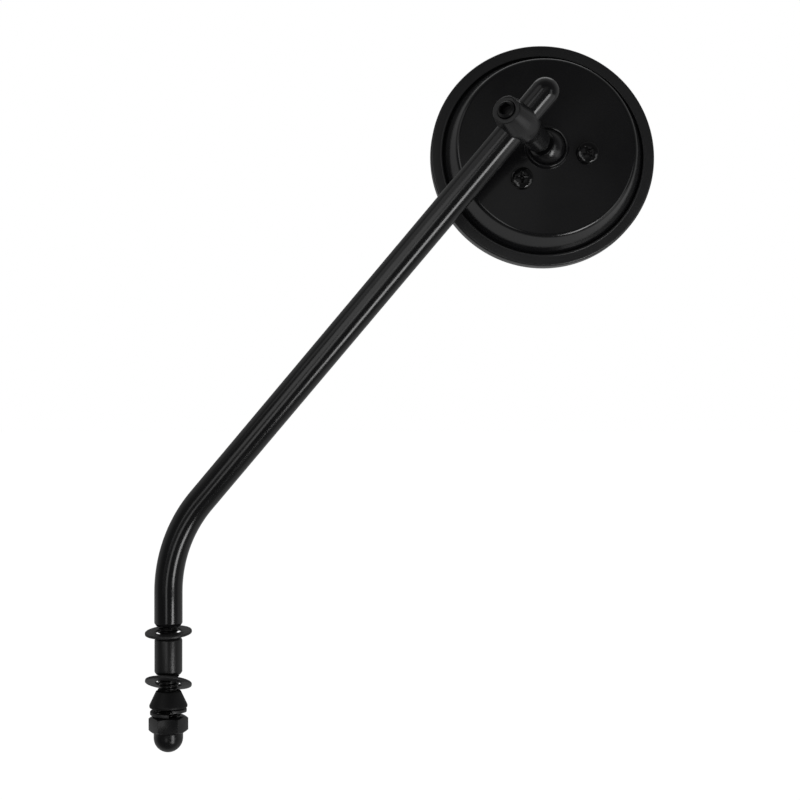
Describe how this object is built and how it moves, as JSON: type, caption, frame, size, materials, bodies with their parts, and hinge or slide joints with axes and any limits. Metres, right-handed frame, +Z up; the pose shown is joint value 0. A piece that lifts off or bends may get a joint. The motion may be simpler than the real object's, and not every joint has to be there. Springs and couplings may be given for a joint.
{
  "type": "motorcycle mirror",
  "caption": "Round convex handlebar mirror on a bent black stem with a clamp, ball joint, threaded stud, washers, spacer and domed nut.",
  "frame": {"origin": "where the threaded stud meets the stem's shoulder, on the stud's axis", "axes": "+Z up along the stud; the stem bends towards +X; the back of the head looks towards -Y and its glass towards +Y"},
  "size_m": [0.1847, 0.0641, 0.2645],
  "materials": {
    "stem_paint": "satin-gloss black powder coat on a steel rod",
    "sleeve_paint": "satin black coat on a steel sleeve",
    "nut_paint": "glossy black plating on a domed nut",
    "clamp_paint": "satin black paint on a cast post",
    "blackened_steel": "black oxide on steel washers",
    "screw_black": "black plated steel screws",
    "ball_steel": "polished black plated steel ball",
    "bush_rubber": "dull black rubber",
    "seal_rubber": "black rubber strip",
    "foam": "dark closed-cell foam",
    "nylon": "natural nylon",
    "shell_paint": "smooth satin black paint on pressed steel",
    "bezel_paint": "finely textured black paint on a rolled steel ring",
    "plate_steel": "zinc plated steel plate",
    "mirror_glass": "convex glass silvered on its back"
  },
  "bodies": {
    "arm": {"stem": "stem_paint", "upper_washer": "blackened_steel", "spacer_sleeve": "sleeve_paint", "lower_washer": "blackened_steel", "cone_bush": "bush_rubber", "lock_washer": "blackened_steel", "acorn_nut": "nut_paint"},
    "clamp": {"clamp_post": "clamp_paint", "set_screw": "screw_black"},
    "ball": {"ball_stud": "ball_steel"},
    "seat": {"ball_seat": "nylon"},
    "head": {"back_shell": "shell_paint", "bezel_ring": "bezel_paint", "mirror_glass": "mirror_glass", "glass_seal": "seal_rubber", "foam_ring": "foam", "clamp_plate": "plate_steel", "plate_screw_1": "screw_black", "plate_screw_2": "screw_black", "plate_screw_3": "screw_black"}
  },
  "joints": [
    {"name": "clamp_turn", "type": "hinge", "parent": "arm", "child": "clamp", "pos_m": [0.13177, 0, 0.18246], "axis": [0.6593, 0, 0.7518], "continuous": true},
    {"name": "ball_spin", "type": "hinge", "parent": "clamp", "child": "ball", "pos_m": [0.13825, 0.02368, 0.17677], "axis": [-0.2571, -0.9397, 0.2255], "range_deg": [-20, 20]},
    {"name": "ball_tilt", "type": "hinge", "parent": "ball", "child": "seat", "pos_m": [0.13825, 0.02368, 0.17677], "axis": [0.6593, 0, 0.7518], "range_deg": [-36, 4]},
    {"name": "ball_pan", "type": "hinge", "parent": "seat", "child": "head", "pos_m": [0.13825, 0.02368, 0.17677], "axis": [0.7451, 0.134, -0.6534], "range_deg": [-7, 10]}
  ]
}
